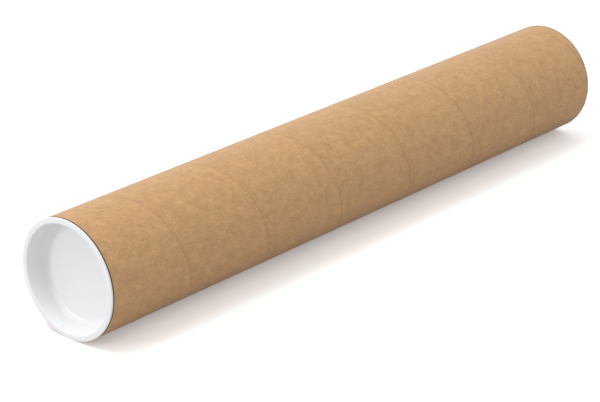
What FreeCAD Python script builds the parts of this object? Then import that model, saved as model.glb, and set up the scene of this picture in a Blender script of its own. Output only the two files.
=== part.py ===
import FreeCAD, Part
import math
import os

# A cardboard mailing tube with a push-in plug in each end, lying on its side.
# Millimetres. The tube's axis lies along X and +Z is up. The origin is on the
# surface that the tube lies on, below the middle of its length.

# Tube, wound from strips of kraft paper and board
tubeLength = 450.0
tubeOuterDiameter = 73.0
tubeWall = 2.0

# Butt seam between the turns of the outer strip
seamPitch = 65.8
seamWidth = 0.6
seamDepth = 0.2
seamCrossing = 255.9        # where the seam crosses the tube's front, from the near end

# Push-in plug, one moulding with about the same wall everywhere
flangeThickness = 1.5
mouthRound = 0.5
mouthFacets = 1
plugClearance = 0.4         # between the skirt and the bore, at the flange
plugWall = 1.5
plugDepth = 11.4            # from the flange's back to the nose
plugTaper = 2.9             # how far the skirt narrows over that depth
floorRound = 4.2            # inside the recess
floorFacets = 3
noseRound = 2.0
noseFacets = 1
barbCount = 1
barbSpacing = 1.8
barbClearance = 0.15        # between the barbs' tips and the bore

tubeRadius = tubeOuterDiameter / 2.0
boreRadius = tubeRadius - tubeWall
flangeRadius = tubeRadius
axisHeight = flangeRadius

skirtRadius = boreRadius - plugClearance
barbRadius = boreRadius - barbClearance
noseHeight = -plugDepth
floorHeight = noseHeight + plugWall

centre = FreeCAD.Vector(0.0, 0.0, 0.0)
upwards = FreeCAD.Vector(0.0, 0.0, 1.0)
across = FreeCAD.Vector(0.0, 1.0, 0.0)


def seamCutter():
    """A thin V section swept along a right-handed helix on the tube's surface."""
    overhang = seamPitch / 10.0
    helix = Part.makeLongHelix(seamPitch, tubeLength + 2.0 * overhang, tubeRadius, 0.0, False)
    outside = tubeRadius + seamDepth
    inside = tubeRadius - seamDepth
    corners = [
        FreeCAD.Vector(inside, 0.0, 0.0),
        FreeCAD.Vector(outside, 0.0, seamWidth),
        FreeCAD.Vector(outside, 0.0, -seamWidth),
    ]
    section = Part.makePolygon(corners + corners[:1])
    cutter = Part.Wire(helix.Edges).makePipeShell([section], True, True)
    cutter.translate(FreeCAD.Vector(0.0, 0.0, -overhang))
    frontAngle = 270.0
    startAngle = frontAngle - 360.0 * (seamCrossing + overhang) / seamPitch
    cutter.rotate(centre, upwards, startAngle)
    return cutter


def tube():
    """The wound tube, standing along Z from 0, with the seam cut in its surface."""
    outer = Part.makeCylinder(tubeRadius, tubeLength)
    bore = Part.makeCylinder(boreRadius, tubeLength)
    return outer.cut(bore).cut(seamCutter())


def roundedCorner(before, corner, after, radius, facets):
    """Points that take a corner of an outline round an arc, in a few short chords."""
    back = (before - corner).normalize()
    ahead = (after - corner).normalize()
    halfAngle = back.getAngle(ahead) / 2.0
    reach = radius / math.tan(halfAngle)
    towardsCentre = (back + ahead).normalize()
    arcCentre = corner + towardsCentre * (radius / math.sin(halfAngle))
    start = corner + back * reach - arcCentre
    end = corner + ahead * reach - arcCentre
    turn = start.getAngle(end)
    points = []
    for step in range(facets + 1):
        share = step / facets
        first = math.sin((1.0 - share) * turn) / math.sin(turn)
        second = math.sin(share * turn) / math.sin(turn)
        points.append(arcCentre + start * first + end * second)
    return points


def turned(outline):
    """Turn a half section about the axis. Each corner is (radius, height, round, facets)."""
    corners = [FreeCAD.Vector(radius, 0.0, height) for radius, height, _, _ in outline]
    points = []
    for index, (_, _, radius, facets) in enumerate(outline):
        if radius == 0.0:
            points.append(corners[index])
            continue
        after = corners[(index + 1) % len(corners)]
        points += roundedCorner(corners[index - 1], corners[index], after, radius, facets)
    face = Part.Face(Part.makePolygon(points + points[:1]))
    return face.revolve(centre, upwards, 360.0)


def skirtAt(height):
    """Outer radius of the tapered skirt; the recess inside it is one wall smaller."""
    return skirtRadius + plugTaper * height / plugDepth


def barbOutline():
    """The gripping barbs round the skirt, each sloped towards the nose and square behind."""
    outline = [(skirtAt(-barbSpacing * (barbCount + 1)), -barbSpacing * (barbCount + 1), 0.0, 0)]
    for index in range(barbCount, 0, -1):
        height = -barbSpacing * index
        outline += [
            (barbRadius, height, 0.0, 0),
            (skirtAt(height), height, 0.0, 0),
        ]
    return outline


def plug():
    """The plug with its flange's back at Z = 0 and its recess open towards +Z."""
    top = flangeThickness
    outline = [
        (0.0, noseHeight, 0.0, 0),
        (skirtAt(noseHeight), noseHeight, noseRound, noseFacets),
    ]
    outline += barbOutline()
    outline += [
        (skirtRadius, 0.0, 0.0, 0),
        (flangeRadius, 0.0, 0.0, 0),
        (flangeRadius, top, 0.0, 0),
        (skirtAt(top) - plugWall, top, mouthRound, mouthFacets),
        (skirtAt(floorHeight) - plugWall, floorHeight, floorRound, floorFacets),
        (0.0, floorHeight, 0.0, 0),
    ]
    return turned(outline)


def laid(shape, endPosition):
    """Turn a piece from along Z to along X, with its base at a place on the tube's axis."""
    piece = shape.copy()
    piece.rotate(centre, across, 90.0)
    piece.translate(FreeCAD.Vector(endPosition, 0.0, axisHeight))
    return piece


farCap = laid(plug(), tubeLength / 2.0)
nearCap = farCap.copy()
nearCap.rotate(centre, upwards, 180.0)

nodes = {
    "tube": laid(tube(), -tubeLength / 2.0),
    "near_cap": nearCap,
    "far_cap": farCap,
}

os.makedirs("parts", exist_ok=True)
for name, shape in nodes.items():
    piece = shape.Solids[0]
    print(name, "valid", piece.isValid(), "solids", len(shape.Solids), "volume", round(piece.Volume, 1))
    piece.exportStep("parts/" + name + ".step")
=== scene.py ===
import math
import bmesh
import bpy
from mathutils import Matrix, Vector, noise


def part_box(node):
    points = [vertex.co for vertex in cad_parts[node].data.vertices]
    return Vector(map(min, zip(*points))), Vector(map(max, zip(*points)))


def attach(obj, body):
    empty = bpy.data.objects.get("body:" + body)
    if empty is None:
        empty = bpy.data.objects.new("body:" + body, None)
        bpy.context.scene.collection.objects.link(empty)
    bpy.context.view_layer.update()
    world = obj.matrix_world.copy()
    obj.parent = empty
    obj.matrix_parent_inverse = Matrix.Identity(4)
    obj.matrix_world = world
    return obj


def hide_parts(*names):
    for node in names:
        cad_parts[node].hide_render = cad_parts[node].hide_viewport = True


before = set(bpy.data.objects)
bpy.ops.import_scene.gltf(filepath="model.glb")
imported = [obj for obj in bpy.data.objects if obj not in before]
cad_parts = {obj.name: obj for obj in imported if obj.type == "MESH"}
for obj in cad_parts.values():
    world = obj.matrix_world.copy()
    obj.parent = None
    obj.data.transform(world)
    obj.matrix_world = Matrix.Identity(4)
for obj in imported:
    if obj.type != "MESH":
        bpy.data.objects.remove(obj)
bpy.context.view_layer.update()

mm = 0.001
tubeLow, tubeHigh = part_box("tube")
capLow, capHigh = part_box("far_cap")
tubeEnd = tubeHigh.x
tubeRadius = (tubeHigh.z - tubeLow.z) / 2
axisHeight = (tubeHigh.z + tubeLow.z) / 2
flangeFace = capHigh.x
plugNose = capLow.x
print("frame loaded, tube", round(2 * tubeEnd, 4), "m long")


# The camera of the photograph: a long lens, level with no roll, looking down on the tube

cameraView = {
    "lens": 134.4,
    "place": (-0.987, -0.8494, 0.5597),
    "pitchDown": 22.769,
    "heading": 48.39,
}


def makeCamera(view):
    data = bpy.data.cameras.new("camera")
    data.lens = view["lens"]
    data.sensor_width = 36.0
    data.clip_start = 0.01
    camera = bpy.data.objects.new("camera", data)
    camera.location = view["place"]
    down = math.radians(90.0 - view["pitchDown"])
    camera.rotation_euler = (down, 0.0, -math.radians(view["heading"]))
    bpy.context.scene.collection.objects.link(camera)
    bpy.context.scene.camera = camera


makeCamera(cameraView)
bpy.context.scene.view_settings.view_transform = "Standard"
print("camera placed")


# Shader sums are written as Python expressions

class Wire:
    def __init__(self, finish, socket):
        self.finish = finish
        self.socket = socket

    def maths(self, operation, *values):
        return self.finish.node("ShaderNodeMath", {"operation": operation}, *values)

    def __add__(self, other):
        return self.maths("ADD", self, other)

    __radd__ = __add__

    def __sub__(self, other):
        return self.maths("SUBTRACT", self, other)

    def __rsub__(self, other):
        return self.maths("SUBTRACT", other, self)

    def __mul__(self, other):
        return self.maths("MULTIPLY", self, other)

    __rmul__ = __mul__

    def __truediv__(self, other):
        return self.maths("DIVIDE", self, other)

    def __pow__(self, other):
        return self.maths("POWER", self, other)

    def __abs__(self):
        return self.maths("ABSOLUTE", self)

    def lower(self, other):
        return self.maths("MINIMUM", self, other)

    def higher(self, other):
        return self.maths("MAXIMUM", self, other)

    def ramp(self, start, end):
        # 0 below start, 1 above end, smooth between; start may be the larger
        settings = {"interpolation_type": "SMOOTHSTEP"}
        if start < end:
            return self.finish.node("ShaderNodeMapRange", settings, self, start, end, 0.0, 1.0)
        return self.finish.node("ShaderNodeMapRange", settings, self, end, start, 1.0, 0.0)


class Finish:
    def __init__(self, name):
        self.material = bpy.data.materials.new(name)
        self.material.use_nodes = True
        self.tree = self.material.node_tree
        self.tree.nodes.clear()
        self.output = self.tree.nodes.new("ShaderNodeOutputMaterial")

    def node(self, kind, settings, *values, output=0, **named):
        # settings first, then values or wires in the order of the sockets, or by socket name
        made = self.tree.nodes.new(kind)
        for key, value in settings.items():
            setattr(made, key, value)
        for index, value in enumerate(values):
            self.join(made.inputs[index], value)
        for key, value in named.items():
            self.join(made.inputs[key.replace("_", " ")], value)
        return Wire(self, made.outputs[output])

    def join(self, socket, value):
        if value is None:
            return
        if isinstance(value, Wire):
            self.tree.links.new(value.socket, socket)
        else:
            socket.default_value = value

    def mix(self, amount, first, second):
        # colours are blended here; a Math node would turn them grey
        made = self.tree.nodes.new("ShaderNodeMix")
        made.data_type = "RGBA"
        self.join(made.inputs["Factor"], amount)
        self.join(made.inputs[6], first)
        self.join(made.inputs[7], second)
        return Wire(self, made.outputs[2])

    def tint(self, colour, amount):
        # a colour made lighter or darker by a grey factor
        scaled = self.node("ShaderNodeVectorMath", {"operation": "SCALE"}, colour)
        self.join(scaled.socket.node.inputs["Scale"], amount)
        return scaled

    def noise(self, vector, scale, detail=2.0, roughness=0.5):
        kind = {"noise_dimensions": "3D"}
        return self.node("ShaderNodeTexNoise", kind, Vector=vector, Scale=scale,
                         Detail=detail, Roughness=roughness)

    def point(self, x, y, z=0.0):
        return self.node("ShaderNodeCombineXYZ", {}, x, y, z)

    def bump(self, height, strength, distance, normal=None):
        return self.node("ShaderNodeBump", {}, Strength=strength, Distance=distance,
                         Height=height, Normal=normal)

    def surface(self, **sockets):
        shader = self.node("ShaderNodeBsdfPrincipled", {}, **sockets)
        self.tree.links.new(shader.socket, self.output.inputs["Surface"])
        return self.material


def splitVector(finish, vector):
    parts = finish.node("ShaderNodeSeparateXYZ", {}, vector).socket.node
    return [Wire(finish, parts.outputs[index]) for index in range(3)]


# Kraft paper, wound as a strip: the pattern runs along the strip, in metres

kraftPaper = {
    "pinkish": (0.492, 0.270, 0.114, 1.0),
    "olive": (0.476, 0.270, 0.110, 1.0),
    "pale": (0.70, 0.43, 0.22, 1.0),
    "dark": (0.30, 0.155, 0.065, 1.0),
    "roughness": 0.60,
    "clouding": 1.0,       # strength of the grain that runs from 1 mm to 3 cm
    "paleFibres": 0.36,
    "darkFibres": 0.75,
    "seamShade": 0.05,
    "seamShadeReach": 0.003,
    "grade": 0.035,         # how much lighter one edge of the strip is
    "bumpDepth": 0.00008,
}


fibreKinds = {
    "longPale": {"scale": 420.0, "width": 0.045, "breakAt": 0.59, "shift": 3.1},
    "shortPale": {"scale": 700.0, "width": 0.05, "breakAt": 0.56, "shift": 7.7},
    "dark": {"scale": 520.0, "width": 0.035, "breakAt": 0.62, "shift": 12.9},
}


def curls(finish, vector, kind):
    # thin curled lines where a noise crosses its middle, broken into short fibres
    shift = (kind["shift"], kind["shift"] * 0.7, kind["shift"] * 1.3)
    shifted = finish.node("ShaderNodeVectorMath", {"operation": "ADD"}, vector, shift)
    width = kind["width"]
    line = abs(finish.noise(shifted, kind["scale"], 1.0) - 0.5).ramp(width, width * 0.3)
    patches = finish.noise(shifted, kind["scale"] * 0.9, 1.0, 0.6)
    return line * patches.ramp(kind["breakAt"], kind["breakAt"] + 0.06)


def paperGrain(finish, strip):
    # the strip's own directions, drawn out a little across it
    along, across, rest = splitVector(finish, strip)
    vector = finish.point(along, across * 0.8)
    clouds = finish.noise(vector, 150.0, 5.0, 0.82)
    longPale = curls(finish, vector, fibreKinds["longPale"])
    pale = longPale.higher(curls(finish, vector, fibreKinds["shortPale"]))
    dark = curls(finish, vector, fibreKinds["dark"])
    return vector, across, clouds, pale, dark


def makeKraft(settings, stripWidth):
    finish = Finish("kraft_paper")
    strip = finish.node("ShaderNodeUVMap", {"uv_map": "strip"})
    vector, across, clouds, pale, dark = paperGrain(finish, strip)
    hue = finish.noise(vector, 60.0, 3.0, 0.6).ramp(0.36, 0.64)
    colour = finish.mix(hue, settings["pinkish"], settings["olive"])
    fromEdge = across.lower(stripWidth - across)
    edge = fromEdge.ramp(settings["seamShadeReach"], 0.0) * settings["seamShade"]
    grade = 1.0 - edge + (across / stripWidth - 0.5) * settings["grade"]
    colour = finish.tint(colour, (clouds - 0.5) * settings["clouding"] + grade)
    colour = finish.mix(pale * settings["paleFibres"], colour, settings["pale"])
    colour = finish.mix(dark * settings["darkFibres"], colour, settings["dark"])
    normal = finish.bump(clouds + pale * 0.25 - dark * 0.15, 0.5, settings["bumpDepth"])
    rough = settings["roughness"] + (clouds - 0.5) * 0.3
    return finish.surface(Base_Color=colour, Roughness=rough, Normal=normal,
                          Specular_IOR_Level=0.5, Sheen_Weight=0.10)


kraftBoard = {
    "inside": (0.36, 0.235, 0.135, 1.0),
    "edgePale": (0.45, 0.31, 0.185, 1.0),
    "edgeDark": (0.20, 0.12, 0.065, 1.0),
    "paintedGapShade": (0.13, 0.082, 0.048, 1.0),      # painted shade: the outer plies are darkened to stand in for the shadow in the gap beside the flange
    "paintedGapShadePlies": 1.3,
    "plies": 6,
}


def makeInside(settings):
    finish = Finish("inner_board")
    strip = finish.node("ShaderNodeUVMap", {"uv_map": "strip"})
    vector, across, clouds, pale, dark = paperGrain(finish, strip)
    colour = finish.mix(clouds.ramp(0.3, 0.7) * 0.5, settings["inside"], settings["edgePale"])
    colour = finish.mix(dark * 0.5, colour, settings["edgeDark"])
    normal = finish.bump(clouds + pale * 0.25, 0.5, 0.0001)
    return finish.surface(Base_Color=colour, Roughness=0.85, Normal=normal,
                          Specular_IOR_Level=0.2)


def makeCutEdge(settings, wall):
    # the sawn end shows each ply as a ring; its outer plies carry painted shade for the gap beside
    # the flange
    finish = Finish("cut_board_edge")
    place = finish.node("ShaderNodeTexCoord", {}, output="Object")
    x, y, z = splitVector(finish, place)
    height = z - axisHeight
    radius = (y * y + height * height) ** 0.5
    depth = (tubeRadius - radius) / wall * settings["plies"]
    wander = finish.noise(place, 900.0, 3.0)
    ply = (depth + wander * 0.25).maths("PINGPONG", depth + wander * 0.25, 0.5)
    colour = finish.mix(ply.ramp(0.02, 0.16), settings["edgeDark"], settings["edgePale"])
    colour = finish.mix(wander.ramp(0.45, 0.7) * 0.5, colour, settings["inside"])
    # painted shade: the outer plies are darkened to stand in for the shadow in the gap beside the
    # flange
    paintedGapShade = depth.ramp(settings["paintedGapShadePlies"] + 0.3, settings["paintedGapShadePlies"] - 0.3)
    colour = finish.mix(paintedGapShade, colour, settings["paintedGapShade"])
    normal = finish.bump(ply.ramp(0.0, 0.2) + wander * 0.7, 0.6, 0.0001)
    return finish.surface(Base_Color=colour, Roughness=0.9, Normal=normal,
                          Specular_IOR_Level=0.15)


# White moulded polyethylene

whitePlastic = {
    "colour": (0.762, 0.766, 0.776, 1.0),
    "shade": (0.740, 0.744, 0.756, 1.0),
    "roughness": 0.34,
}


def makePlastic(settings):
    finish = Finish("white_polyethylene")
    place = finish.node("ShaderNodeTexCoord", {}, output="Object")
    clouds = finish.noise(place, 38.0, 2.0)
    grain = finish.noise(place, 1400.0, 2.0)
    colour = finish.mix(clouds.ramp(0.35, 0.65) * 0.3, settings["colour"], settings["shade"])
    rough = settings["roughness"] + clouds * 0.10 + grain * 0.06 - 0.08
    normal = finish.bump(grain * 0.4 + clouds, 0.25, 0.00004)
    return finish.surface(Base_Color=colour, Roughness=rough, Normal=normal)


# The wound tube: a strip of paper spun round the axis with a step along it

woundTube = {
    "wall": 2.0 * mm,
    "pitch": 65.8 * mm,
    "crossing": 255.9 * mm,     # of the outer seam at the tube's front, from the near end
    "innerCrossing": 222.0 * mm,
    "gap": 0.08 * mm,
    "gapDepth": 0.06 * mm,
    "edgeLift": 0.02 * mm,
    "edgeReach": 1.2 * mm,
    "stepsPerTurn": 144,
    "acrossStrip": 12,
    "cutRound": 0.45 * mm,
    "ripple": 0.03 * mm,
}


def stripProfile(tube):
    # (distance across the strip, height) from the middle of one seam to the next
    half = tube["gap"] / 2
    wall = tube["gapDepth"] * 0.25
    reach = tube["edgeReach"]
    lift = tube["edgeLift"]
    depth = tube["gapDepth"]
    rise = [(0.0, -depth), (half, -depth), (half + wall, -lift), (half + 3 * wall, lift),
            (reach, lift)]
    middle = []
    span = tube["pitch"] - 6 * reach
    for index in range(tube["acrossStrip"] + 1):
        middle.append((3 * reach + span * index / tube["acrossStrip"], 0.0))
    fall = [(tube["pitch"] - place, height) for place, height in reversed(rise)]
    return rise + middle + fall


def windStrip(bm, tube, radius, outwards, crossing, material):
    # one turn is spun with a step along the axis, then laid down again and again
    pitch = tube["pitch"]
    steps = tube["stepsPerTurn"]
    start = crossing - pitch / 4 - tubeEnd      # where the seam crosses the top
    while start > -tubeEnd - pitch:
        start -= pitch
    points = [bm.verts.new((start + place, 0.0, radius + outwards * height))
              for place, height in stripProfile(tube)]
    edges = [bm.edges.new(pair) for pair in zip(points, points[1:])]
    before = set(bm.faces)
    bmesh.ops.spin(bm, geom=points + edges, cent=(0, 0, 0), axis=(1, 0, 0),
                   dvec=(pitch / steps, 0, 0), angle=2 * math.pi, steps=steps,
                   use_merge=False, use_normal_flip=False, use_duplicate=False)
    firstTurn = [face for face in bm.faces if face not in before]
    layer = bm.loops.layers.uv.get("strip") or bm.loops.layers.uv.new("strip")
    turnLength = math.hypot(2 * math.pi * radius, pitch)
    width = pitch * 2 * math.pi * radius / turnLength
    for face in firstTurn:
        face.material_index = material
        centre = face.calc_center_median()
        angle = math.atan2(-centre.y, centre.z) % (2 * math.pi)
        for loop in face.loops:
            co = loop.vert.co
            own = math.atan2(-co.y, co.z)
            own += 2 * math.pi * round((angle - own) / (2 * math.pi))
            share = own / (2 * math.pi)
            across = (co.x - start) / pitch - share
            loop[layer].uv = (share * turnLength, across * width)
    made = list(firstTurn)
    for turn in range(1, math.ceil(2 * tubeEnd / pitch) + 2):
        copy = bmesh.ops.duplicate(bm, geom=firstTurn)["geom"]
        copied = [item for item in copy if isinstance(item, bmesh.types.BMFace)]
        verts = [item for item in copy if isinstance(item, bmesh.types.BMVert)]
        bmesh.ops.translate(bm, verts=verts, vec=(turn * pitch, 0, 0))
        for face in copied:
            for loop in face.loops:
                loop[layer].uv.x += turn * turnLength
        made += copied
    verts = list({vert for face in made for vert in face.verts})
    bmesh.ops.remove_doubles(bm, verts=verts, dist=1e-5)


def rimEdges(bm, end, radius):
    # the open edges at one end, on the outer or the inner surface
    found = []
    for edge in bm.edges:
        middle = (edge.verts[0].co + edge.verts[1].co) / 2
        reach = math.hypot(middle.y, middle.z)
        if edge.is_boundary and middle.x * end > 0 and abs(reach - radius) < 0.5 * mm:
            found.append(edge)
    return found


def roundRim(bm, edges, end, radialStep, size):
    # turn the wall's corner in three short steps towards the sawn face
    steps = 3
    for index in range(1, steps + 1):
        last = math.pi / 2 * (index - 1) / steps
        angle = math.pi / 2 * index / steps
        forward = size * (math.sin(angle) - math.sin(last))
        sideways = size * (math.cos(last) - math.cos(angle))
        made = bmesh.ops.extrude_edge_only(bm, edges=edges)["geom"]
        edges = [item for item in made if isinstance(item, bmesh.types.BMEdge)]
        for item in made:
            if isinstance(item, bmesh.types.BMFace):
                item.material_index = 2
        for vert in [item for item in made if isinstance(item, bmesh.types.BMVert)]:
            radius = math.hypot(vert.co.y, vert.co.z)
            scale = (radius + radialStep * sideways) / radius
            vert.co = (vert.co.x + end * forward, vert.co.y * scale, vert.co.z * scale)
    return edges


def makeTube(tube):
    bm = bmesh.new()
    outerRadius = tubeRadius - tube["edgeLift"]
    innerRadius = tubeRadius - tube["wall"]
    windStrip(bm, tube, outerRadius, 1, tube["crossing"], 0)
    windStrip(bm, tube, innerRadius, -1, tube["innerCrossing"], 1)
    cut = tubeEnd - tube["cutRound"]
    for end in (-1, 1):
        everything = bm.verts[:] + bm.edges[:] + bm.faces[:]
        bmesh.ops.bisect_plane(bm, geom=everything, dist=1e-8, plane_co=(end * cut, 0, 0),
                               plane_no=(end, 0, 0), clear_outer=True, clear_inner=False)
    for end in (-1, 1):
        outer = roundRim(bm, rimEdges(bm, end, outerRadius), end, -1, tube["cutRound"])
        inner = roundRim(bm, rimEdges(bm, end, innerRadius), end, 1, tube["cutRound"])
        filled = bmesh.ops.triangle_fill(bm, edges=outer + inner, use_beauty=True,
                                         use_dissolve=False, normal=(end, 0, 0))["geom"]
        for item in filled:
            if isinstance(item, bmesh.types.BMFace):
                item.material_index = 2
    for vert in bm.verts:
        radius = math.hypot(vert.co.y, vert.co.z)
        shift = noise.noise(vert.co * 60) * tube["ripple"] - tube["ripple"]
        if radius > tubeRadius - tube["wall"] / 2:
            scale = (radius + shift) / radius
            vert.co = (vert.co.x, vert.co.y * scale, vert.co.z * scale)
    bmesh.ops.recalc_face_normals(bm, faces=bm.faces)
    circumference = 2 * math.pi * tubeRadius
    stripWidth = tube["pitch"] * circumference / math.hypot(circumference, tube["pitch"])
    finishes = [makeKraft(kraftPaper, stripWidth), makeInside(kraftBoard),
                makeCutEdge(kraftBoard, tube["wall"])]
    return finishPiece(bm, "wound_tube", finishes, 40)


def finishPiece(bm, name, materials, smoothAngle):
    bmesh.ops.translate(bm, verts=bm.verts, vec=(0, 0, axisHeight))
    mesh = bpy.data.meshes.new(name)
    bm.to_mesh(mesh)
    bm.free()
    for material in materials:
        mesh.materials.append(material)
    mesh.shade_smooth()
    mesh.set_sharp_from_angle(angle=math.radians(smoothAngle))
    piece = bpy.data.objects.new(name, mesh)
    bpy.context.scene.collection.objects.link(piece)
    print(name, "made,", len(mesh.polygons), "faces")
    return piece


tubePiece = makeTube(woundTube)
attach(tubePiece, "tube")
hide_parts("tube")


# The push-in plugs: one section, spun round the axis

plugShape = {
    "flangeThickness": flangeFace - tubeEnd,
    "flangeEdge": 0.4 * mm,
    "flangeBackEdge": 0.12 * mm,
    "flangeGap": 0.5 * mm,      # the flange stands this far off the sawn end
    "mouthRound": 0.7 * mm,
    "skirtRadius": 34.1 * mm,
    "wall": 1.5 * mm,
    "depth": tubeEnd - plugNose,
    "taper": 2.9 * mm,
    "floorRound": 4.2 * mm,
    "noseRound": 2.0 * mm,
    "barbRadius": 34.35 * mm,
    "barbSpacing": 1.8 * mm,
    "barbs": 1,
    "tipRound": 0.08 * mm,
    "stepsRound": 192,
    "roundSteps": 8,
}


def roundedSection(corners, steps):
    # corners are (radius, place along the axis, round); each round becomes an arc
    points = []
    for index, (x, y, size) in enumerate(corners):
        corner = Vector((x, y))
        if size == 0:
            points.append(corner)
            continue
        before = Vector(corners[index - 1][:2]) - corner
        after = Vector(corners[index + 1][:2]) - corner
        before.normalize()
        after.normalize()
        half = before.angle(after) / 2
        centre = corner + (before + after).normalized() * (size / math.sin(half))
        first = corner + before * (size / math.tan(half)) - centre
        last = corner + after * (size / math.tan(half)) - centre
        turn = first.angle(last)
        for step in range(steps + 1):
            share = step / steps
            point = first * math.sin((1 - share) * turn) + last * math.sin(share * turn)
            points.append(centre + point / math.sin(turn))
    return points


def skirtAt(plug, height):
    return plug["skirtRadius"] + plug["taper"] * height / plug["depth"]


def plugSection(plug):
    face = plug["flangeThickness"]
    nose = -plug["depth"]
    floorHeight = nose + plug["wall"]
    back = plug["flangeGap"]
    corners = [(0.0, nose, 0), (skirtAt(plug, nose), nose, plug["noseRound"])]
    last = -plug["barbSpacing"] * (plug["barbs"] + 1)
    corners.append((skirtAt(plug, last), last, 0))
    for index in range(plug["barbs"], 0, -1):
        height = -plug["barbSpacing"] * index
        corners.append((plug["barbRadius"], height, plug["tipRound"]))
        corners.append((skirtAt(plug, height), height, plug["tipRound"]))
    corners.append((skirtAt(plug, back), back, plug["tipRound"]))
    corners.append((tubeRadius, back, plug["flangeBackEdge"]))
    corners.append((tubeRadius, face, plug["flangeEdge"]))
    corners.append((skirtAt(plug, face) - plug["wall"], face, plug["mouthRound"]))
    corners.append((skirtAt(plug, floorHeight) - plug["wall"], floorHeight, plug["floorRound"]))
    corners.append((0.0, floorHeight, 0))
    return roundedSection(corners, plug["roundSteps"])


def makePlug(plug, name, end, material):
    bm = bmesh.new()
    points = [bm.verts.new((tubeEnd + point.y, 0, point.x)) for point in plugSection(plug)]
    edges = [bm.edges.new(pair) for pair in zip(points, points[1:])]
    bmesh.ops.spin(bm, geom=points + edges, cent=(0, 0, 0), axis=(1, 0, 0), dvec=(0, 0, 0),
                   angle=2 * math.pi, steps=plug["stepsRound"], use_merge=True,
                   use_normal_flip=False, use_duplicate=False)
    bmesh.ops.remove_doubles(bm, verts=bm.verts, dist=1e-7)
    if end < 0:
        halfTurn = Matrix.Rotation(math.pi, 3, "Z")
        bmesh.ops.rotate(bm, verts=bm.verts, cent=(0, 0, 0), matrix=halfTurn)
    bmesh.ops.recalc_face_normals(bm, faces=bm.faces)
    return finishPiece(bm, name, [material], 35)


plastic = makePlastic(whitePlastic)
for plugName, nodeName, plugEnd in (("near_plug", "near_cap", -1), ("far_plug", "far_cap", 1)):
    plugPiece = makePlug(plugShape, plugName, plugEnd, plastic)
    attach(plugPiece, nodeName)
    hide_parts(nodeName)


# The pale floor and the soft light of the studio

studio = {
    "floorSize": 12.0,
    "floorSeen": (1.0, 1.0, 1.0, 1.0),
    "floorLift": 0.25,           # white added where the camera looks, which keeps the shadow light
    "floorBounce": (0.60, 0.60, 0.60, 1.0),
    "roomLight": 0.85,
    "key": {"place": (-0.63, 0.50, 2.0), "size": 1.15, "power": 21.0},
    "side": {"place": (-2.3, 1.25, 0.6), "size": 0.6, "power": 15.0},
}


def makeFloor(settings):
    bm = bmesh.new()
    bmesh.ops.create_grid(bm, x_segments=1, y_segments=1, size=settings["floorSize"] / 2)
    mesh = bpy.data.meshes.new("floor")
    bm.to_mesh(mesh)
    bm.free()
    finish = Finish("pale_floor")
    path = finish.node("ShaderNodeLightPath", {}, output="Is Camera Ray")
    bounced = finish.node("ShaderNodeBsdfDiffuse", {}, Color=settings["floorBounce"])
    seen = finish.node("ShaderNodeBsdfDiffuse", {}, Color=settings["floorSeen"])
    lift = finish.node("ShaderNodeEmission", {}, Strength=settings["floorLift"])
    lifted = finish.node("ShaderNodeAddShader", {}, seen, lift)
    shown = finish.node("ShaderNodeMixShader", {}, path, bounced, lifted)
    finish.tree.links.new(shown.socket, finish.output.inputs["Surface"])
    mesh.materials.append(finish.material)
    floor = bpy.data.objects.new("floor", mesh)
    bpy.context.scene.collection.objects.link(floor)


def makeLamp(name, settings):
    data = bpy.data.lights.new(name, "AREA")
    data.shape = "SQUARE"
    data.size = settings["size"]
    data.energy = settings["power"]
    lamp = bpy.data.objects.new(name, data)
    lamp.location = settings["place"]
    aim = Vector((0, 0, axisHeight)) - lamp.location
    lamp.rotation_euler = aim.to_track_quat("-Z", "Y").to_euler()
    bpy.context.scene.collection.objects.link(lamp)


def makeRoom(strength):
    # white where the camera, a reflection or a see-through part looks, dimmer as a light
    world = bpy.data.worlds.new("room")
    world.use_nodes = True
    tree = world.node_tree
    tree.nodes.clear()
    path = tree.nodes.new("ShaderNodeLightPath")
    seen = path.outputs["Is Camera Ray"]
    for name in ("Is Glossy Ray", "Is Transmission Ray"):
        either = tree.nodes.new("ShaderNodeMath")
        either.operation = "MAXIMUM"
        tree.links.new(seen, either.inputs[0])
        tree.links.new(path.outputs[name], either.inputs[1])
        seen = either.outputs[0]
    level = tree.nodes.new("ShaderNodeMapRange")
    level.inputs["To Min"].default_value = strength
    level.inputs["To Max"].default_value = 1.0
    tree.links.new(seen, level.inputs["Value"])
    background = tree.nodes.new("ShaderNodeBackground")
    background.inputs["Color"].default_value = (1.0, 1.0, 1.0, 1.0)
    tree.links.new(level.outputs["Result"], background.inputs["Strength"])
    output = tree.nodes.new("ShaderNodeOutputWorld")
    tree.links.new(background.outputs[0], output.inputs["Surface"])
    bpy.context.scene.world = world


makeFloor(studio)
makeLamp("keyLight", studio["key"])
makeLamp("sideLight", studio["side"])
makeRoom(studio["roomLight"])
print("floor and lights placed")
